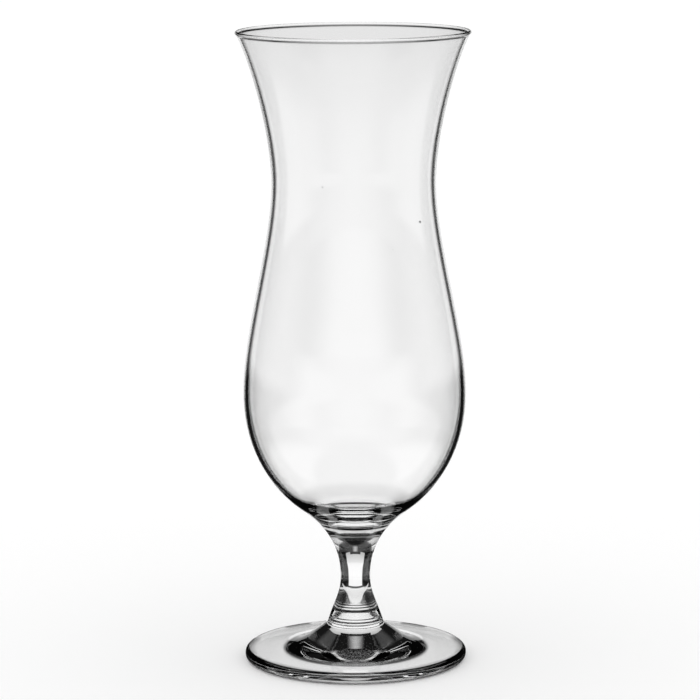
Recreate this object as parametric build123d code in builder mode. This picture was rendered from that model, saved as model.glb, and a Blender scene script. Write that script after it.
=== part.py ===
from build123d import *
from math import cos, radians, sin, sqrt, tan
import os

# A hurricane glass made of three pieces of glass welded hot to each other: a blown bowl, a drawn solid
# stem and a pressed foot. Sizes are in millimetres, slopes and leans in degrees. A lean is measured from
# straight up, a slope from level. The pulls are the lengths of the handles that shape each curve.

# Foot, measured from the table up
foot_diameter = 72.2
foot_height = 12.9  # table to the weld with the stem
foot_edge = 3.5  # thickness at the rounded edge
foot_slope = 2.5  # fall of the ring from the cone to the edge
cone_diameter = 39.2  # where the cone runs out into the ring
cone_neck_drop = 1.2  # weld to the corner where the cone leaves the flare of the stem
cone_neck_radius = 2.2
cone_root_radius = 18.0
edge_round = 1.6
edge_round_limit = 0.48  # most of the edge that one rounding may take
rest_width = 2.0  # flat ring below that rests on the table, inside the rounded edge
hollow_depth = 0.9  # shallow hollow inside that ring
foot_weld_diameter = 17.6
foot_weld_crown = 0.8  # dome of the foot inside the stem

# Stem, measured from its weld with the foot
stem_length = 31.3
stem_diameter = 9.6  # at the waist of the stem
stem_waist_rise = 14.5
stem_flare_lean = 17.5
stem_flare_pull = 6.8
stem_neck_pull = 5.4
stem_cup_pull = 7.1

# Bowl, measured from its weld with the stem
bowl_height = 160.8
bowl_weld_diameter = 22.4
bowl_weld_lean = 41.0
bowl_weld_pull = 2.6
bowl_weld_dish = 1.4  # depth of the bowl's seat in the stem
shoulder_diameter = 34.9  # where the round bottom turns towards the stem
shoulder_rise = 5.5
shoulder_lean = 55.0
shoulder_lower_pull = 3.0
shoulder_upper_pull = 8.0
belly_diameter = 72.2
belly_rise = 43.6
belly_pull = 19.3
waist_diameter = 52.8
waist_rise = 112.2
waist_pull = 15.3
lip_diameter = 75.4
lip_lean = 27.0
lip_pull = 9.8
lip_bead = 1.25  # thickness of the fire-polished lip
lip_bead_length = 0.95
lip_bead_pull = 0.3

# Glass thickness of the bowl
lip_wall = 0.85
waist_wall = 1.5
belly_wall = 1.6

# Bottom of the bowl inside: the wall runs down to a heel, and the heel to the floor
side_pull = 18.9
heel_run = 7.3  # from the shoulder, up the lean of the heel
heel_inset = 1.2  # from there, inward
heel_lean = 47.0
heel_upper_pull = 4.4
heel_lower_pull = 5.0
floor_rise = 4.6  # top of the solid base, above the weld
floor_pull = 11.0


def reach(start, lean, distance):
    """The point at a distance from start, in the direction that leans outward from straight up."""
    radius, height = start
    return (radius + distance * sin(radians(lean)), height + distance * cos(radians(lean)))


def carried_pull(pull, offset, next_offset):
    """The pull past a vertical knot that keeps the curvature of the curve before it."""
    return pull * sqrt(next_offset / offset)


# Heights of the welds and radii that pieces share
bowl_weld_height = foot_height + stem_length
foot_weld = (foot_weld_diameter / 2, foot_height)
foot_weld_top = (0, foot_height + foot_weld_crown)
bowl_weld = (bowl_weld_diameter / 2, bowl_weld_height)
bowl_weld_bottom = (0, bowl_weld_height - bowl_weld_dish)

# Foot corners: the stem's flare runs on to the cone, the cone to the ring and the ring to the edge
foot_radius = foot_diameter / 2
cone_radius = cone_diameter / 2
cone_height = foot_edge + (foot_radius - cone_radius) * tan(radians(foot_slope))
cone_neck = (foot_weld[0] + cone_neck_drop * tan(radians(stem_flare_lean)), foot_height - cone_neck_drop)
cone_root = (cone_radius, cone_height)
edge_top = (foot_radius, foot_edge)
edge_bottom = (foot_radius, 0)
edge_radius = min(edge_round, edge_round_limit * foot_edge)
hollow_edge = (foot_radius - edge_radius - rest_width, 0)
hollow_top = (0, hollow_depth)

with BuildPart() as foot:
    with BuildSketch(Plane.XZ):
        with BuildLine():
            FilletPolyline(
                foot_weld,
                cone_neck,
                cone_root,
                edge_top,
                edge_bottom,
                hollow_edge,
                radius=[cone_neck_radius, cone_root_radius, edge_radius, edge_radius],
            )
            TangentArc(hollow_top, hollow_edge, tangent=(1, 0))
            Line(hollow_top, foot_weld_top)
            TangentArc(foot_weld_top, foot_weld, tangent=(1, 0))
        make_face()
    revolve(axis=Axis.Z)

# Stem: one curve from the cup down to the waist, and one from the waist down to the foot
stem_radius = stem_diameter / 2
stem_waist = (stem_radius, foot_height + stem_waist_rise)
cup_handle = reach(bowl_weld, bowl_weld_lean, -stem_cup_pull)
flare_handle = reach(foot_weld, -stem_flare_lean, stem_flare_pull)
stem_root_pull = carried_pull(stem_neck_pull, cup_handle[0] - stem_radius, flare_handle[0] - stem_radius)

with BuildPart() as stem:
    with BuildSketch(Plane.XZ):
        with BuildLine():
            Bezier(bowl_weld, cup_handle, reach(stem_waist, 0, stem_neck_pull), stem_waist)
            Bezier(stem_waist, reach(stem_waist, 0, -stem_root_pull), flare_handle, foot_weld)
            TangentArc(foot_weld_top, foot_weld, tangent=(1, 0))
            Line(foot_weld_top, bowl_weld_bottom)
            TangentArc(bowl_weld_bottom, bowl_weld, tangent=(1, 0))
        make_face()
    revolve(axis=Axis.Z)

# Bowl, outside: weld, shoulder, belly, waist and the swell of the lip
shoulder = (shoulder_diameter / 2, bowl_weld_height + shoulder_rise)
belly = (belly_diameter / 2, bowl_weld_height + belly_rise)
waist = (waist_diameter / 2, bowl_weld_height + waist_rise)
bead_radius = lip_bead / 2
bead_centre = (lip_diameter / 2 - bead_radius, bowl_weld_height + bowl_height - bead_radius)
lip_middle = reach(bead_centre, lip_lean, -lip_bead_length)
across_lip = lip_lean + 90  # direction through the wall, outward
lip_outside = reach(lip_middle, across_lip, lip_wall / 2)
bead_outside = reach(bead_centre, across_lip, bead_radius)
shoulder_handle = reach(shoulder, shoulder_lean, shoulder_upper_pull)
lip_handle = reach(lip_outside, lip_lean, -lip_pull)
belly_swell = belly[0] - waist[0]
waist_lower_pull = carried_pull(waist_pull, lip_handle[0] - waist[0], belly_swell)
belly_lower_pull = carried_pull(belly_pull, belly_swell, belly[0] - shoulder_handle[0])

# Bowl, inside: the same knots less the wall, then the heel and the floor over the solid base
waist_inside = (waist[0] - waist_wall, waist[1])
belly_inside = (belly[0] - belly_wall, belly[1])
lip_inside = reach(lip_middle, across_lip, -lip_wall / 2)
bead_inside = reach(bead_centre, across_lip, -bead_radius)
heel = reach(reach(shoulder, heel_lean, heel_run), heel_lean - 90, heel_inset)
floor = (0, bowl_weld_height + floor_rise)

with BuildPart() as bowl:
    with BuildSketch(Plane.XZ):
        with BuildLine():
            TangentArc(bowl_weld_bottom, bowl_weld, tangent=(1, 0))
            Bezier(
                bowl_weld,
                reach(bowl_weld, bowl_weld_lean, bowl_weld_pull),
                reach(shoulder, shoulder_lean, -shoulder_lower_pull),
                shoulder,
            )
            Bezier(shoulder, shoulder_handle, reach(belly, 0, -belly_lower_pull), belly)
            Bezier(belly, reach(belly, 0, belly_pull), reach(waist, 0, -waist_lower_pull), waist)
            Bezier(waist, reach(waist, 0, waist_pull), lip_handle, lip_outside)
            Bezier(
                lip_outside,
                reach(lip_outside, lip_lean, lip_bead_pull),
                reach(bead_outside, lip_lean, -lip_bead_pull),
                bead_outside,
            )
            ThreePointArc(bead_outside, reach(bead_centre, lip_lean, bead_radius), bead_inside)
            Bezier(
                bead_inside,
                reach(bead_inside, lip_lean, -lip_bead_pull),
                reach(lip_inside, lip_lean, lip_bead_pull),
                lip_inside,
            )
            Bezier(
                lip_inside,
                reach(lip_inside, lip_lean, -lip_pull),
                reach(waist_inside, 0, waist_pull),
                waist_inside,
            )
            Bezier(
                waist_inside,
                reach(waist_inside, 0, -waist_lower_pull),
                reach(belly_inside, 0, belly_pull),
                belly_inside,
            )
            Bezier(
                belly_inside,
                reach(belly_inside, 0, -side_pull),
                reach(heel, heel_lean, heel_upper_pull),
                heel,
            )
            Bezier(heel, reach(heel, heel_lean, -heel_lower_pull), (floor_pull, floor[1]), floor)
            Line(floor, bowl_weld_bottom)
        make_face()
    revolve(axis=Axis.Z)

os.makedirs("parts", exist_ok=True)

bowl.part.label = "bowl"
export_step(bowl.part, "parts/bowl.step")
stem.part.label = "stem"
export_step(stem.part, "parts/stem.step")
foot.part.label = "foot"
export_step(foot.part, "parts/foot.step")
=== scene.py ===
import math

import bmesh
import bpy
from mathutils import Matrix, Vector
from mathutils.geometry import interpolate_bezier


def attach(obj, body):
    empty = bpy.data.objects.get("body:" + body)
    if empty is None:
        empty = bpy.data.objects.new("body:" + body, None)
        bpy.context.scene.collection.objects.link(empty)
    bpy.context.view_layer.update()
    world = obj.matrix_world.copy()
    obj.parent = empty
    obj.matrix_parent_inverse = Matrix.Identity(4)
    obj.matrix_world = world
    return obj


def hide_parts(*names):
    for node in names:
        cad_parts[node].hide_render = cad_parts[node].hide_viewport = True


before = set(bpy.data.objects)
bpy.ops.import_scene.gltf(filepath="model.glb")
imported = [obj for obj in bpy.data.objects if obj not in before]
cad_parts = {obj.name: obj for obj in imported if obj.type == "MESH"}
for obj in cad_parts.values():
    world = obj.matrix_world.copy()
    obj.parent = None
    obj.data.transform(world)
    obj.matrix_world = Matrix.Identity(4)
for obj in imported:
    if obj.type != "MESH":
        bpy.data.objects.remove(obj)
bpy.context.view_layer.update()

# Hurricane glass: a foot, a stem and a bowl, turned from outlines in millimetres and welded to each other.
# The studio is in metres. Turns are in degrees, from straight behind the glass round to the front.
scene = bpy.context.scene
millimetre = 0.001
around = 192  # steps round the axis
sameSpot = 1e-4  # points of an outline that lie closer are one
glassFace, weldFace, seamHighlightFace = 0, 1, 2  # order of the looks on each piece


# Outlines are lists of (radius, height). A lean is measured from straight up, in degrees.
def reach(start, lean, distance):
    lean = math.radians(lean)
    return (start[0] + distance * math.sin(lean), start[1] + distance * math.cos(lean))


def carriedPull(pull, offset, nextOffset):  # keeps the curvature past an upright point
    return pull * math.sqrt(nextOffset / offset)


def between(start, end, steps):
    shares = [i / (steps - 1) for i in range(steps)]
    return [(start[0] + (end[0] - start[0]) * t, start[1] + (end[1] - start[1]) * t) for t in shares]


def bend(start, startHandle, endHandle, end, steps):
    knots = [Vector((p[0], p[1], 0)) for p in (start, startHandle, endHandle, end)]
    return [(p.x, p.y) for p in interpolate_bezier(*knots, steps)]


def dome(top, edge, steps):  # arc from the axis, level there, out to an edge
    rise = edge[1] - top[1]
    radius = (edge[0] ** 2 + rise ** 2) / (2 * rise)
    sweep = math.asin(edge[0] / abs(radius))
    turns = [sweep * i / (steps - 1) for i in range(steps)]
    return [(abs(radius) * math.sin(a), top[1] + radius * (1 - math.cos(a))) for a in turns]


def arc(centre, radius, startLean, endLean, steps):
    return [reach(centre, startLean + (endLean - startLean) * i / (steps - 1), radius) for i in range(steps)]


def fillet(before, corner, after, radius, steps):
    corner = Vector(corner)
    toBefore = (Vector(before) - corner).normalized()
    toAfter = (Vector(after) - corner).normalized()
    half = toBefore.angle(toAfter) / 2
    centre = corner + (toBefore + toAfter).normalized() * radius / math.sin(half)
    start = corner + toBefore * radius / math.tan(half) - centre
    end = corner + toAfter * radius / math.tan(half) - centre
    sweep = start.angle(end)
    points = []
    for i in range(steps):
        share = i / (steps - 1)
        spoke = start * math.sin((1 - share) * sweep) + end * math.sin(share * sweep)
        p = centre + spoke / math.sin(sweep)
        points.append((p.x, p.y))
    return points


ripple = {  # left by the tool round the weld of stem and foot
    "height": 12.7,
    "reach": 2.6,
    "step": 1.05,
    "depth": 0.03,
}


def rippled(points):
    made = []
    for radius, height in points:
        above = height - ripple["height"]
        share = min(1, max(0, 1 - abs(above) / ripple["reach"]))
        fade = share * share * (3 - 2 * share)
        push = ripple["depth"] * fade * math.sin(2 * math.pi * above / ripple["step"])
        made.append((radius + push, height))
    return made


def placeMesh(name, build, looks):
    mesh = bpy.data.meshes.new(name)
    build.to_mesh(mesh)
    build.free()
    for look in looks:
        mesh.materials.append(look)
    thing = bpy.data.objects.new(name, mesh)
    scene.collection.objects.link(thing)
    return thing


def turned(name, runs, looks):
    # runs are (look, points), joined end to end; a change of look makes a sharp ring
    rings, ringLooks = [], []
    for look, points in runs:
        for radius, height in points:
            if rings and math.hypot(radius - rings[-1][0], height - rings[-1][1]) < sameSpot:
                continue
            rings.append((radius, height))
            ringLooks.append(look)
    build = bmesh.new()
    made = []
    for radius, height in rings:
        wide, up = radius * millimetre, height * millimetre
        if radius < sameSpot:
            made.append([build.verts.new((0, 0, up))])
            continue
        ring = []
        for k in range(around):
            turn = 2 * math.pi * k / around
            ring.append(build.verts.new((wide * math.cos(turn), wide * math.sin(turn), up)))
        made.append(ring)
    for i in range(len(made) - 1):
        low, high = made[i], made[i + 1]
        for k in range(around):
            n = (k + 1) % around
            if len(low) == 1:
                corners = (low[0], high[n], high[k])
            elif len(high) == 1:
                corners = (low[k], low[n], high[0])
            else:
                corners = (low[k], low[n], high[n], high[k])
            face = build.faces.new(corners)
            face.material_index = ringLooks[i + 1]
            face.smooth = True
    for edge in build.edges:
        if len({face.material_index for face in edge.link_faces}) > 1:
            edge.smooth = False
    build.normal_update()
    return placeMesh(name, build, looks)


# Camera
cameraPlace = {
    "distance": 1.077,
    "height": 0.2842,
    "aside": -0.00142,
    "down": 9.61,
    "roll": -0.27,
    "lens": 173.83,
    "sensor": 36,
    "clipStart": 0.05,
    "clipEnd": 60,
}
cameraData = bpy.data.cameras.new("camera")
cameraData.sensor_width = cameraPlace["sensor"]
cameraData.lens = cameraPlace["lens"]
cameraData.clip_start = cameraPlace["clipStart"]
cameraData.clip_end = cameraPlace["clipEnd"]
camera = bpy.data.objects.new("camera", cameraData)
scene.collection.objects.link(camera)
camera.matrix_world = (
    Matrix.Translation((cameraPlace["aside"], -cameraPlace["distance"], cameraPlace["height"]))
    @ Matrix.Rotation(math.radians(90 - cameraPlace["down"]), 4, "X")
    @ Matrix.Rotation(math.radians(cameraPlace["roll"]), 4, "Z")
)
scene.camera = camera
scene.view_settings.view_transform = "Standard"
print("camera set")


# Node helpers. An output's id_data is its node tree, so nodes are added to the tree of what is fed to them.
def newLook(name):
    look = bpy.data.materials.new(name)
    look.use_nodes = True
    look.node_tree.nodes.clear()
    return look, look.node_tree


def feed(socket, value):  # a number or an output
    if isinstance(value, (int, float)):
        socket.default_value = value
    else:
        socket.id_data.links.new(value, socket)


def calc(operation, a, b=0.0):
    tree = b.id_data if isinstance(a, (int, float)) else a.id_data
    node = tree.nodes.new("ShaderNodeMath")
    node.operation = operation
    feed(node.inputs[0], a)
    feed(node.inputs[1], b)
    return node.outputs["Value"]


def times(first, *others):
    for other in others:
        first = calc("MULTIPLY", first, other)
    return first


def larger(a, b):
    return calc("MAXIMUM", a, b)


def ramp(value, low, high, atLow, atHigh, smooth=False):
    node = value.id_data.nodes.new("ShaderNodeMapRange")
    node.interpolation_type = "SMOOTHSTEP" if smooth else "LINEAR"
    feed(node.inputs["Value"], value)
    for name, setting in (("From Min", low), ("From Max", high), ("To Min", atLow), ("To Max", atHigh)):
        node.inputs[name].default_value = setting
    return node.outputs["Result"]


def rises(value, low, high):
    return ramp(value, low, high, 0, 1, True)


def fades(value, low, high):
    return ramp(value, low, high, 1, 0, True)


def placeOn(tree):  # where the point lies on its sheet: aside, back and up
    place = tree.nodes.new("ShaderNodeTexCoord")
    split = tree.nodes.new("ShaderNodeSeparateXYZ")
    tree.links.new(place.outputs["Object"], split.inputs["Vector"])
    return split.outputs["X"], split.outputs["Y"], split.outputs["Z"]


def turnOf(aside, back):
    return calc("DEGREES", calc("ABSOLUTE", calc("ARCTAN2", aside, back)))


def glowing(tree, tone):
    glow = tree.nodes.new("ShaderNodeEmission")
    feed(glow.inputs["Strength"], tone)
    return glow.outputs["Emission"]


def mixed(tree, share, first, second):
    mix = tree.nodes.new("ShaderNodeMixShader")
    feed(mix.inputs["Fac"], share)
    feed(mix.inputs[1], first)
    feed(mix.inputs[2], second)
    return mix.outputs["Shader"]


def show(tree, shader):
    out = tree.nodes.new("ShaderNodeOutputMaterial")
    tree.links.new(shader, out.inputs["Surface"])


# Sheets of the studio
def plainSheet(name, corners, look):
    build = bmesh.new()
    build.faces.new([build.verts.new(corner) for corner in corners])
    return placeMesh(name, build, [look])


def square(half):
    return [(-half, -half, 0), (half, -half, 0), (half, half, 0), (-half, half, 0)]


def upright(half, low, high):
    return [(-half, 0, low), (half, 0, low), (half, 0, high), (-half, 0, high)]


def ringSheet(name, plan, startTurn, endTurn, low, look):  # part of an upright round wall
    radius, steps = plan["radius"], plan["steps"]
    build = bmesh.new()
    bottom, top = [], []
    for k in range(steps + 1):
        a = math.radians(startTurn + (endTurn - startTurn) * k / steps)
        bottom.append(build.verts.new((radius * math.sin(a), radius * math.cos(a), low)))
        top.append(build.verts.new((radius * math.sin(a), radius * math.cos(a), plan["top"])))
    for k in range(steps):
        build.faces.new((bottom[k], bottom[k + 1], top[k + 1], top[k]))
    return placeMesh(name, build, [look])


# Studio: a white floor under a white sky. The glass itself sees a dark room with glowing sheets in it,
# which stand on a turntable that faces the camera.
studio = {
    "floorSide": 16.0,
    "floorDrop": 0.0002,  # floor and sweep lie a hair below the foot
    "sweepDrop": 0.0001,
    "sky": 1.02,
    "room": 0.008,
}
floorLook, tree = newLook("floorLook")
matt = tree.nodes.new("ShaderNodeBsdfDiffuse")
matt.inputs["Color"].default_value = (1, 1, 1, 1)
show(tree, matt.outputs["BSDF"])
floor = plainSheet("floor", square(studio["floorSide"] / 2), floorLook)
floor.location.z = -studio["floorDrop"]
floor.visible_glossy = floor.visible_transmission = False

turntable = bpy.data.objects.new("turntable", None)
scene.collection.objects.link(turntable)
follow = turntable.constraints.new("LOCKED_TRACK")
follow.target = camera
follow.track_axis = "TRACK_NEGATIVE_Y"
follow.lock_axis = "LOCK_Z"

# Sweep: the floor as the glass sees it, with a painted shadow below the foot
sweepPlan = {
    "pathTurn": 18.0,  # half width of the white path behind the glass, near it and far off
    "farTurn": 22.0,
    "widenFrom": 0.06,
    "widenTo": 1.5,
    "pathSoft": 1.0,
    "nearTone": 1.0,
    "farTone": 0.86,
    "nearRadius": 0.2,
    "farRadius": 2.6,
    "gapRadius": 0.045,  # dark line across the path, mirrored below the bowl
    "gapHalf": 0.003,
    "gapSoft": 0.002,
    "discBehind": 0.042,  # white disc below the ring of the foot
    "discBehindTurn": 45.0,
    "discSide": 0.034,
    "discSideTurn": 75.0,
    "discSideEnd": 100.0,
    "discFront": 0.0315,
    "discFrontTurn": 140.0,
    "discSoft": 0.002,
    "dip": 0.007,  # the disc is smaller beside the path
    "dipTurn": 33.0,
    "dipFlat": 6.6,
    "dipHalf": 11.0,
    "shadeBehind": 0.018,  # painted shadow below the middle of the foot, less so behind
    "shadeTurn": 10.0,
    "shadeRadius": 0.023,
    "shadeTurnFull": 25.0,
    "shadeSoft": 0.0008,
    "sideTurn": 42.0,  # from here round, the floor further out is white again, mirrored in the bowl
    "sideSoft": 6.0,
    "sideFrom": 0.22,
    "sideFull": 0.36,
    "frontTurn": 105.0,  # in front it is white from closer by
    "frontTurnFull": 160.0,
    "frontFrom": 0.045,
    "frontFull": 0.12,
    "outTone": 1.0,
    "outEnd": 2.0,
    "outEndTone": 0.6,
    "ringTurn": 55.0,  # white ring round the foot, mirrored in the round of the bowl
    "ringTurnFull": 80.0,
    "ringFrom": 0.045,
    "ringFull": 0.060,
    "ringFade": 0.12,
    "ringEnd": 0.20,
}
sweepLook, tree = newLook("sweepLook")
aside, back, _ = placeOn(tree)
radius = calc("SQRT", calc("ADD", times(aside, aside), times(back, back)))
turn = turnOf(aside, back)

# the path, wider far off, with the dark line across it
widenFrom, widenTo = math.log10(sweepPlan["widenFrom"]), math.log10(sweepPlan["widenTo"])
farOff = calc("LOGARITHM", radius, 10)
pathEdge = ramp(farOff, widenFrom, widenTo, sweepPlan["pathTurn"], sweepPlan["farTurn"])
onPath = ramp(calc("SUBTRACT", turn, pathEdge), -sweepPlan["pathSoft"], sweepPlan["pathSoft"], 1, 0)
fromLine = calc("ABSOLUTE", calc("SUBTRACT", radius, sweepPlan["gapRadius"]))
outOfGap = ramp(fromLine, sweepPlan["gapHalf"], sweepPlan["gapHalf"] + sweepPlan["gapSoft"], 0, 1)
fall = ramp(
    radius,
    sweepPlan["nearRadius"],
    sweepPlan["farRadius"],
    sweepPlan["nearTone"],
    sweepPlan["farTone"],
)
whitePath = times(onPath, outOfGap, fall)

# the disc, less its dip
discEdge = ramp(
    turn,
    sweepPlan["discBehindTurn"],
    sweepPlan["discSideTurn"],
    sweepPlan["discBehind"],
    sweepPlan["discSide"],
    True,
)
discCut = ramp(
    turn,
    sweepPlan["discSideEnd"],
    sweepPlan["discFrontTurn"],
    0,
    sweepPlan["discSide"] - sweepPlan["discFront"],
    True,
)
fromDip = calc("ABSOLUTE", calc("SUBTRACT", turn, sweepPlan["dipTurn"]))
dip = ramp(fromDip, sweepPlan["dipFlat"], sweepPlan["dipHalf"], sweepPlan["dip"], 0, True)
discEdge = calc("SUBTRACT", calc("SUBTRACT", discEdge, discCut), dip)
onDisc = ramp(calc("SUBTRACT", radius, discEdge), -sweepPlan["discSoft"], sweepPlan["discSoft"], 1, 0)

# the painted shadow in the middle, below the foot
shadeEdge = ramp(
    turn,
    sweepPlan["shadeTurn"],
    sweepPlan["shadeTurnFull"],
    sweepPlan["shadeBehind"],
    sweepPlan["shadeRadius"],
    True,
)
outOfShade = ramp(calc("SUBTRACT", radius, shadeEdge), -sweepPlan["shadeSoft"], sweepPlan["shadeSoft"], 0, 1)

# the floor further out, and the ring round the foot
sideTurn, sideSoft = sweepPlan["sideTurn"], sweepPlan["sideSoft"]
beside = rises(turn, sideTurn - sideSoft, sideTurn + sideSoft)
inFront = rises(turn, sweepPlan["frontTurn"], sweepPlan["frontTurnFull"])
frontOn = rises(radius, sweepPlan["frontFrom"], sweepPlan["frontFull"])
sideOn = rises(radius, sweepPlan["sideFrom"], sweepPlan["sideFull"])
outOn = calc("ADD", times(frontOn, inFront), times(sideOn, calc("SUBTRACT", 1.0, inFront)))
outFall = ramp(
    radius,
    sweepPlan["sideFrom"],
    sweepPlan["outEnd"],
    sweepPlan["outTone"],
    sweepPlan["outEndTone"],
)
furtherOut = times(beside, outFall, outOn)
footRing = times(
    rises(radius, sweepPlan["ringFrom"], sweepPlan["ringFull"]),
    fades(radius, sweepPlan["ringFade"], sweepPlan["ringEnd"]),
    rises(turn, sweepPlan["ringTurn"], sweepPlan["ringTurnFull"]),
)

nearTone = times(larger(whitePath, onDisc), outOfShade)
roundTone = calc("ADD", larger(furtherOut, footRing), studio["room"])
show(tree, glowing(tree, larger(nearTone, roundTone)))
sweep = plainSheet("sweep", square(studio["floorSide"] / 2), sweepLook)
sweep.location.z = -studio["sweepDrop"]

# Wall at the end of the path
wallPlan = {
    "place": 3.0,
    "turn": 22.0,  # half width
    "top": 0.67,
    "topTone": 0.5,
    "gapTop": 0.48,  # the middle of the wall is lower
    "gapTurn": 11.0,
}
wallLook, tree = newLook("wallLook")
aside, _, up = placeOn(tree)
gapHalf = wallPlan["place"] * math.tan(math.radians(wallPlan["gapTurn"]))
inMiddle = calc("LESS_THAN", calc("ABSOLUTE", aside), gapHalf)
inGap = times(inMiddle, calc("GREATER_THAN", up, wallPlan["gapTop"]))
tone = ramp(up, 0, wallPlan["top"], sweepPlan["farTone"], wallPlan["topTone"])
show(tree, glowing(tree, larger(calc("SUBTRACT", tone, inGap), studio["room"])))
wallHalf = wallPlan["place"] * math.tan(math.radians(wallPlan["turn"]))
wall = plainSheet("wall", upright(wallHalf, 0, wallPlan["top"]), wallLook)
wall.location.y = wallPlan["place"]

# Strip: soft white above the middle of the wall, mirrored in the ring of the foot
stripPlan = {
    "ahead": 0.01,  # of the wall
    "half": 0.36,
    "low": 0.60,
    "full": 0.72,
    "fade": 1.0,
    "top": 1.3,
    "tone": 0.45,
}
stripLook, tree = newLook("stripLook")
aside, _, up = placeOn(tree)
tone = times(
    fades(calc("ABSOLUTE", aside), 0, stripPlan["half"]),
    rises(up, stripPlan["low"], stripPlan["full"]),
    fades(up, stripPlan["fade"], stripPlan["top"]),
    stripPlan["tone"],
)
show(tree, glowing(tree, larger(tone, studio["room"])))
strip = plainSheet("strip", upright(stripPlan["half"], wallPlan["gapTop"], stripPlan["top"]), stripLook)
strip.location.y = wallPlan["place"] - stripPlan["ahead"]

# Tent: dark round the sides, white in front, open at the back
tentPlan = {
    "radius": 0.25,
    "turn": 122.0,
    "turnFull": 172.0,
    "fade": 0.2,
    "top": 0.38,
    "lowTurn": 95.0,  # low down the white reaches further round
    "lowTurnFull": 130.0,
    "lowFade": 0.11,
    "lowTop": 0.14,
    "tone": 0.8,
    "steps": 120,
}
tentLook, tree = newLook("tentLook")
aside, back, up = placeOn(tree)
turn = turnOf(aside, back)
inFront = rises(turn, tentPlan["turn"], tentPlan["turnFull"])
inFront = times(inFront, fades(up, tentPlan["fade"], tentPlan["top"]))
lowDown = rises(turn, tentPlan["lowTurn"], tentPlan["lowTurnFull"])
lowDown = times(lowDown, fades(up, tentPlan["lowFade"], tentPlan["lowTop"]))
tone = times(larger(inFront, lowDown), tentPlan["tone"])
show(tree, glowing(tree, larger(tone, studio["room"])))
opening = sideTurn - sideSoft
tent = ringSheet("tent", tentPlan, opening, 360 - opening, 0, tentLook)

# Cards: white beside the bowl, hung higher than the stem
cardPlan = {
    "radius": 0.12,
    "turn": 48.0,
    "soft": 6.0,
    "front": 100.0,  # they fade out from here to the front, so that the stem stays dark
    "frontEnd": 150.0,
    "low": 0.080,
    "full": 0.095,
    "fade": 0.19,
    "top": 0.24,
    "tone": 0.8,
    "steps": 120,
}
cardLook, tree = newLook("cardLook")
aside, back, up = placeOn(tree)
turn = turnOf(aside, back)
onCard = times(
    rises(turn, cardPlan["turn"] - cardPlan["soft"], cardPlan["turn"] + cardPlan["soft"]),
    fades(turn, cardPlan["front"], cardPlan["frontEnd"]),
    rises(up, cardPlan["low"], cardPlan["full"]),
    fades(up, cardPlan["fade"], cardPlan["top"]),
)
nothing = tree.nodes.new("ShaderNodeBsdfTransparent")
show(tree, mixed(tree, onCard, nothing.outputs["BSDF"], glowing(tree, cardPlan["tone"])))
opening = cardPlan["turn"] - cardPlan["soft"]
cards = ringSheet("cards", cardPlan, opening, 360 - opening, cardPlan["low"], cardLook)

# Collars: dark and low, beside the edge of the foot
collarPlan = {
    "radius": 0.0425,
    "turn": 55.0,
    "end": 150.0,
    "top": 0.007,
    "steps": 60,
}
collarLook, tree = newLook("collarLook")
show(tree, glowing(tree, studio["room"]))
collars = []
for side, name in ((-1, "leftCollar"), (1, "rightCollar")):
    start, end = side * collarPlan["turn"], side * collarPlan["end"]
    collars.append(ringSheet(name, collarPlan, start, end, 0, collarLook))
for sheet in (sweep, wall, strip, tent, cards, *collars):
    sheet.parent = turntable
    sheet.visible_camera = sheet.visible_diffuse = sheet.visible_shadow = False

# World: the floor and the camera see the sky, the glass sees the room
world = bpy.data.worlds.new("room")
scene.world = world
world.use_nodes = True
tree = world.node_tree
tree.nodes.clear()
ray = tree.nodes.new("ShaderNodeLightPath")
intoGlass = larger(ray.outputs["Is Transmission Ray"], ray.outputs["Is Glossy Ray"])
skies = []
for strength in (studio["sky"], studio["room"]):
    sky = tree.nodes.new("ShaderNodeBackground")
    sky.inputs["Color"].default_value = (1, 1, 1, 1)
    sky.inputs["Strength"].default_value = strength
    skies.append(sky.outputs["Background"])
out = tree.nodes.new("ShaderNodeOutputWorld")
tree.links.new(mixed(tree, intoGlass, *skies), out.inputs["Surface"])
print("studio set")

# Glass: waves in the surface, a faint haze and a little change in clarity, sizes in millimetres
anyGlass = {
    "ior": 1.52,
    "seedSkew": 2.7,  # shift aside to shift back
    "waveDetail": 1,
    "hazeDetail": 3,
    "hazeFrom": 0.4,
    "hazeFull": 0.75,
    "clearDetail": 1,
    "clearFrom": 0.3,
    "clearFull": 0.7,
}


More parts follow.
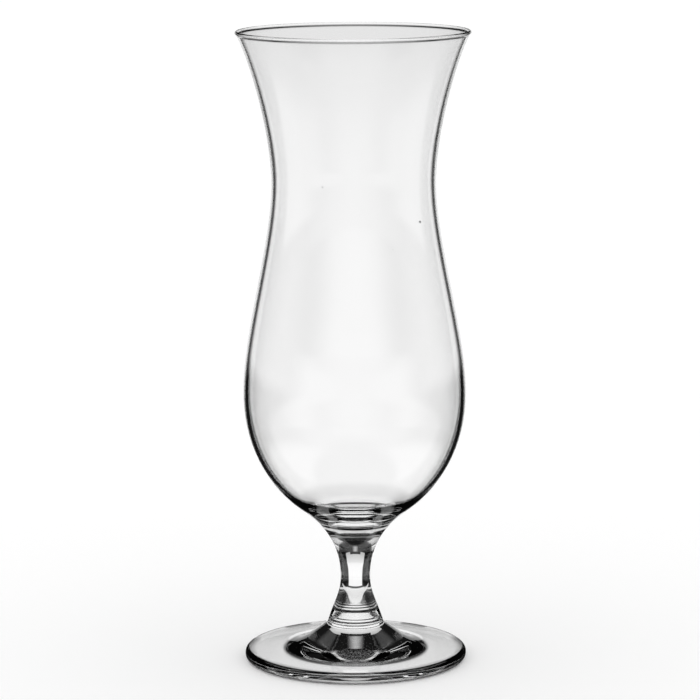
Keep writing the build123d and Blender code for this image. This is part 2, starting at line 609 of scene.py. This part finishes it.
def glass(name, finish):
    look, tree = newLook(name)
    place = tree.nodes.new("ShaderNodeTexCoord")

    def noise(size, stretch, detail):  # stretched upward
        shift = tree.nodes.new("ShaderNodeMapping")
        shift.inputs["Location"].default_value = (finish["seed"], anyGlass["seedSkew"] * finish["seed"], 0)
        flat = 1 / (size * millimetre)
        shift.inputs["Scale"].default_value = (flat, flat, flat / stretch)
        tree.links.new(place.outputs["Object"], shift.inputs["Vector"])
        grain = tree.nodes.new("ShaderNodeTexNoise")
        grain.inputs["Scale"].default_value = 1
        grain.inputs["Detail"].default_value = detail
        tree.links.new(shift.outputs["Vector"], grain.inputs["Vector"])
        return grain.outputs["Fac"]

    waves = tree.nodes.new("ShaderNodeBump")
    waves.inputs["Strength"].default_value = 1
    waves.inputs["Distance"].default_value = finish["waveDepth"] * millimetre
    feed(waves.inputs["Height"], noise(finish["waveSize"], finish["waveStretch"], anyGlass["waveDetail"]))
    haze = noise(finish["hazeSize"], 1, anyGlass["hazeDetail"])
    haze = ramp(haze, anyGlass["hazeFrom"], anyGlass["hazeFull"], 0, finish["haze"], True)
    clear = noise(finish["clearSize"], 1, anyGlass["clearDetail"])
    clear = ramp(clear, anyGlass["clearFrom"], anyGlass["clearFull"], finish["clearLow"], finish["clearHigh"])
    shade = tree.nodes.new("ShaderNodeBsdfPrincipled")
    shade.inputs["Transmission Weight"].default_value = 1.0
    shade.inputs["IOR"].default_value = anyGlass["ior"]
    feed(shade.inputs["Roughness"], haze)
    feed(shade.inputs["Base Color"], clear)
    feed(shade.inputs["Normal"], waves.outputs["Normal"])
    show(tree, shade.outputs["BSDF"])
    return look


weldLook, tree = newLook("weldLook")  # fused glass: nothing shows where the pieces meet
fused = tree.nodes.new("ShaderNodeBsdfTransparent")
show(tree, fused.outputs["BSDF"])

# Seam: a painted highlight, a pale line round the bowl's weld
seam = {
    "rings": 2,  # of the outline, on each side of the weld
    "grain": 900,  # per metre
    "grainLow": 0.3,
    "grainHigh": 0.7,
    "toneLow": 0.7,
    "toneHigh": 0.95,
    "roughness": 0.4,
}
seamHighlightLook, tree = newLook("seamHighlightLook")
place = tree.nodes.new("ShaderNodeTexCoord")
grain = tree.nodes.new("ShaderNodeTexNoise")
grain.inputs["Scale"].default_value = seam["grain"]
tree.links.new(place.outputs["Object"], grain.inputs["Vector"])
pale = tree.nodes.new("ShaderNodeBsdfPrincipled")
pale.inputs["Roughness"].default_value = seam["roughness"]
paintedHighlightTone = ramp(grain.outputs["Fac"], seam["grainLow"], seam["grainHigh"], seam["toneLow"], seam["toneHigh"])
feed(pale.inputs["Base Color"], paintedHighlightTone)
show(tree, pale.outputs["BSDF"])

# Foot: from the hollow below, round the edge and up the cone to the weld
foot = {
    "radius": 36.1,
    "height": 12.9,  # up to the weld with the stem
    "edge": 3.5,  # thickness at the edge
    "slope": 2.5,  # fall of the ring towards the edge
    "coneRadius": 19.6,  # where the cone runs out into the ring
    "neckDrop": 1.2,  # from the weld to where the cone leaves the flare
    "neckRound": 2.2,
    "rootRound": 18.0,
    "edgeRound": 1.6,
    "restWidth": 2.0,  # flat ring that the glass stands on
    "hollowDepth": 0.9,
    "weldRadius": 8.8,
    "weldCrown": 0.8,  # dome of the foot in the stem
    "flareLean": 17.5,  # of the stem where it meets the foot
    "hollowSteps": 60,
    "restSteps": 6,
    "edgeSteps": 20,
    "ringSteps": 16,
    "rootSteps": 20,
    "coneSteps": 80,
    "neckSteps": 40,
    "flareSteps": 8,
    "weldSteps": 16,
    "seed": 1.3,  # pressed: slow waves from the mould
    "waveSize": 7.0,
    "waveStretch": 1.0,  # upward
    "waveDepth": 0.003,
    "hazeSize": 9.0,
    "haze": 0.03,
    "clearSize": 20.0,
    "clearLow": 0.985,
    "clearHigh": 0.998,
}
footWeld = (foot["weldRadius"], foot["height"])
footWeldTop = (0, foot["height"] + foot["weldCrown"])
neckFlare = foot["neckDrop"] * math.tan(math.radians(foot["flareLean"]))
coneNeck = (foot["weldRadius"] + neckFlare, foot["height"] - foot["neckDrop"])
ringRise = (foot["radius"] - foot["coneRadius"]) * math.tan(math.radians(foot["slope"]))
coneRoot = (foot["coneRadius"], foot["edge"] + ringRise)
edgeTop = (foot["radius"], foot["edge"])
edgeBottom = (foot["radius"], 0)
hollowEdge = (foot["radius"] - foot["edgeRound"] - foot["restWidth"], 0)
hollowTop = (0, foot["hollowDepth"])

edgeLow = fillet(hollowEdge, edgeBottom, edgeTop, foot["edgeRound"], foot["edgeSteps"])
edgeHigh = fillet(edgeBottom, edgeTop, coneRoot, foot["edgeRound"], foot["edgeSteps"])
root = fillet(edgeTop, coneRoot, coneNeck, foot["rootRound"], foot["rootSteps"])
neck = fillet(coneRoot, coneNeck, footWeld, foot["neckRound"], foot["neckSteps"])
below = dome(hollowTop, hollowEdge, foot["hollowSteps"]) + between(hollowEdge, edgeLow[0], foot["restSteps"])
ring = between(edgeHigh[-1], root[0], foot["ringSteps"])
cone = between(root[-1], neck[0], foot["coneSteps"])
flare = between(neck[-1], footWeld, foot["flareSteps"])
footWeldRun = dome(footWeldTop, footWeld, foot["weldSteps"])
footRuns = [
    (glassFace, below + edgeLow + edgeHigh + ring + root),
    (glassFace, rippled(cone + neck + flare)),
    (weldFace, footWeldRun[::-1]),
]
footPiece = turned("footPiece", footRuns, [glass("footGlass", foot), weldLook])
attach(footPiece, "root")
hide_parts("foot")
print("foot turned")

# Stem: from the foot's weld up past its waist to the cup below the bowl
stem = {
    "length": 31.3,  # weld to weld
    "radius": 4.8,  # at the waist
    "waistRise": 14.5,
    "flarePull": 6.8,  # a pull is the length of a handle that shapes a curve
    "neckPull": 5.4,
    "cupPull": 7.1,
    "weldRadius": 11.2,  # with the bowl
    "weldLean": 41.0,
    "weldDish": 1.4,  # depth of the bowl's seat in the stem
    "flareSteps": 240,
    "cupSteps": 60,
    "weldSteps": 20,
    "seed": 5.9,  # drawn: fine cords along the stem
    "waveSize": 1.8,
    "waveStretch": 9.0,
    "waveDepth": 0.0015,
    "hazeSize": 5.0,
    "haze": 0.03,
    "clearSize": 12.0,
    "clearLow": 0.985,
    "clearHigh": 0.998,
}
bowlWeld = (stem["weldRadius"], foot["height"] + stem["length"])
bowlWeldBottom = (0, bowlWeld[1] - stem["weldDish"])
stemWaist = (stem["radius"], foot["height"] + stem["waistRise"])
cupHandle = reach(bowlWeld, stem["weldLean"], -stem["cupPull"])
flareHandle = reach(footWeld, -foot["flareLean"], stem["flarePull"])
rootPull = carriedPull(stem["neckPull"], cupHandle[0] - stem["radius"], flareHandle[0] - stem["radius"])

flare = bend(footWeld, flareHandle, reach(stemWaist, 0, -rootPull), stemWaist, stem["flareSteps"])
cup = bend(stemWaist, reach(stemWaist, 0, stem["neckPull"]), cupHandle, bowlWeld, stem["cupSteps"])
bowlWeldRun = dome(bowlWeldBottom, bowlWeld, stem["weldSteps"])
stemRuns = [
    (weldFace, footWeldRun),
    (glassFace, rippled(flare)),
    (glassFace, cup[:-seam["rings"]]),
    (seamHighlightFace, cup[-seam["rings"] - 1:]),
    (weldFace, bowlWeldRun[::-1]),
]
stemPiece = turned("stemPiece", stemRuns, [glass("stemGlass", stem), weldLook, seamHighlightLook])
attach(stemPiece, "root")
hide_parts("stem")
print("stem turned")

# Bowl: from its weld up the outside, over the lip and down the inside to the floor
bowl = {
    "height": 160.8,  # from the weld, and so are the rises
    "weldPull": 2.6,
    "shoulderRadius": 17.45,  # where the round bottom turns towards the stem
    "shoulderRise": 5.5,
    "shoulderLean": 55.0,
    "shoulderLowerPull": 3.0,
    "shoulderUpperPull": 8.0,
    "bellyRadius": 36.1,
    "bellyRise": 43.6,
    "bellyPull": 19.3,
    "waistRadius": 26.4,
    "waistRise": 112.2,
    "waistPull": 15.3,
    "lipRadius": 37.7,
    "lipLean": 27.0,
    "lipPull": 9.8,
    "bead": 1.25,  # thickness of the fire-polished lip
    "beadLength": 0.95,
    "beadPull": 0.3,
    "lipWall": 0.85,
    "waistWall": 1.5,
    "bellyWall": 1.6,
    "heelRun": 7.3,  # inside, from the shoulder up the lean of the heel
    "heelInset": 1.2,  # from there inward
    "heelLean": 47.0,
    "heelUpperPull": 4.4,
    "heelLowerPull": 5.0,
    "sidePull": 18.9,
    "floorRise": 4.6,  # top of the solid base
    "floorPull": 11.0,
    "underSteps": 24,
    "sideSteps": 60,
    "lipSteps": 12,
    "beadSteps": 24,
    "heelSteps": 52,
    "seed": 9.4,  # blown: long shallow waves
    "waveSize": 16.0,
    "waveStretch": 2.5,
    "waveDepth": 0.006,
    "hazeSize": 22.0,
    "haze": 0.03,
    "clearSize": 45.0,
    "clearLow": 0.988,
    "clearHigh": 0.998,
}
shoulder = (bowl["shoulderRadius"], bowlWeld[1] + bowl["shoulderRise"])
belly = (bowl["bellyRadius"], bowlWeld[1] + bowl["bellyRise"])
waist = (bowl["waistRadius"], bowlWeld[1] + bowl["waistRise"])
beadRadius = bowl["bead"] / 2
beadCentre = (bowl["lipRadius"] - beadRadius, bowlWeld[1] + bowl["height"] - beadRadius)
lean = bowl["lipLean"]
acrossLip = lean + 90
lipMiddle = reach(beadCentre, lean, -bowl["beadLength"])
lipOutside = reach(lipMiddle, acrossLip, bowl["lipWall"] / 2)
lipInside = reach(lipMiddle, acrossLip, -bowl["lipWall"] / 2)
beadOutside = reach(beadCentre, acrossLip, beadRadius)
beadInside = reach(beadCentre, acrossLip, -beadRadius)
waistInside = (waist[0] - bowl["waistWall"], waist[1])
bellyInside = (belly[0] - bowl["bellyWall"], belly[1])
heel = reach(reach(shoulder, bowl["heelLean"], bowl["heelRun"]), bowl["heelLean"] - 90, bowl["heelInset"])
innerFloor = (0, bowlWeld[1] + bowl["floorRise"])

# Handles: the curvature carries on through the belly and the waist
shoulderHandle = reach(shoulder, bowl["shoulderLean"], bowl["shoulderUpperPull"])
underHandle = reach(shoulder, bowl["shoulderLean"], -bowl["shoulderLowerPull"])
weldHandle = reach(bowlWeld, stem["weldLean"], bowl["weldPull"])
lipHandle = reach(lipOutside, lean, -bowl["lipPull"])
swell = belly[0] - waist[0]
waistLowerPull = carriedPull(bowl["waistPull"], lipHandle[0] - waist[0], swell)
bellyLowerPull = carriedPull(bowl["bellyPull"], swell, belly[0] - shoulderHandle[0])

under = bend(bowlWeld, weldHandle, underHandle, shoulder, bowl["underSteps"])
outside = bend(shoulder, shoulderHandle, reach(belly, 0, -bellyLowerPull), belly, bowl["sideSteps"])
outside += bend(
    belly, reach(belly, 0, bowl["bellyPull"]), reach(waist, 0, -waistLowerPull), waist, bowl["sideSteps"]
)
outside += bend(waist, reach(waist, 0, bowl["waistPull"]), lipHandle, lipOutside, bowl["sideSteps"])
lip = bend(
    lipOutside,
    reach(lipOutside, lean, bowl["beadPull"]),
    reach(beadOutside, lean, -bowl["beadPull"]),
    beadOutside,
    bowl["lipSteps"],
)
lip += arc(beadCentre, beadRadius, acrossLip, acrossLip - 180, bowl["beadSteps"])
lip += bend(
    beadInside,
    reach(beadInside, lean, -bowl["beadPull"]),
    reach(lipInside, lean, bowl["beadPull"]),
    lipInside,
    bowl["lipSteps"],
)
inside = bend(
    lipInside,
    reach(lipInside, lean, -bowl["lipPull"]),
    reach(waistInside, 0, bowl["waistPull"]),
    waistInside,
    bowl["sideSteps"],
)
inside += bend(
    waistInside,
    reach(waistInside, 0, -waistLowerPull),
    reach(bellyInside, 0, bowl["bellyPull"]),
    bellyInside,
    bowl["sideSteps"],
)
inside += bend(
    bellyInside,
    reach(bellyInside, 0, -bowl["sidePull"]),
    reach(heel, bowl["heelLean"], bowl["heelUpperPull"]),
    heel,
    bowl["heelSteps"],
)
base = bend(
    heel,
    reach(heel, bowl["heelLean"], -bowl["heelLowerPull"]),
    (bowl["floorPull"], innerFloor[1]),
    innerFloor,
    bowl["heelSteps"],
)
bowlRuns = [
    (weldFace, bowlWeldRun),
    (seamHighlightFace, under[:seam["rings"] + 1]),
    (glassFace, under[seam["rings"]:]),
    (glassFace, outside + lip + inside + base),
]
bowlPiece = turned("bowlPiece", bowlRuns, [glass("bowlGlass", bowl), weldLook, seamHighlightLook])

# Seeds: tiny bubbles in the wall, as (aside from the middle of the front, height, radius)
seeds = {
    "places": [(-9.7, 157.7, 0.2), (20.6, 145.6, 0.4), (12.1, 137.9, 0.15)],
    "subdivisions": 2,
}


def midWall(height):
    outer = min(outside, key=lambda p: abs(p[1] - height))
    inner = min(inside, key=lambda p: abs(p[1] - height))
    return (outer[0] + inner[0]) / 2


build = bmesh.new()
build.from_mesh(bowlPiece.data)
for aside, height, size in seeds["places"]:
    depth = math.sqrt(midWall(height) ** 2 - aside ** 2)
    spot = Matrix.Translation((aside * millimetre, -depth * millimetre, height * millimetre))
    bubble = bmesh.ops.create_icosphere(
        build, subdivisions=seeds["subdivisions"], radius=size * millimetre, matrix=spot
    )
    seedFaces = list({face for vert in bubble["verts"] for face in vert.link_faces})
    bmesh.ops.reverse_faces(build, faces=seedFaces)
    for face in seedFaces:
        face.smooth = True
build.to_mesh(bowlPiece.data)
build.free()
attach(bowlPiece, "root")
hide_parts("bowl")
print("bowl turned")
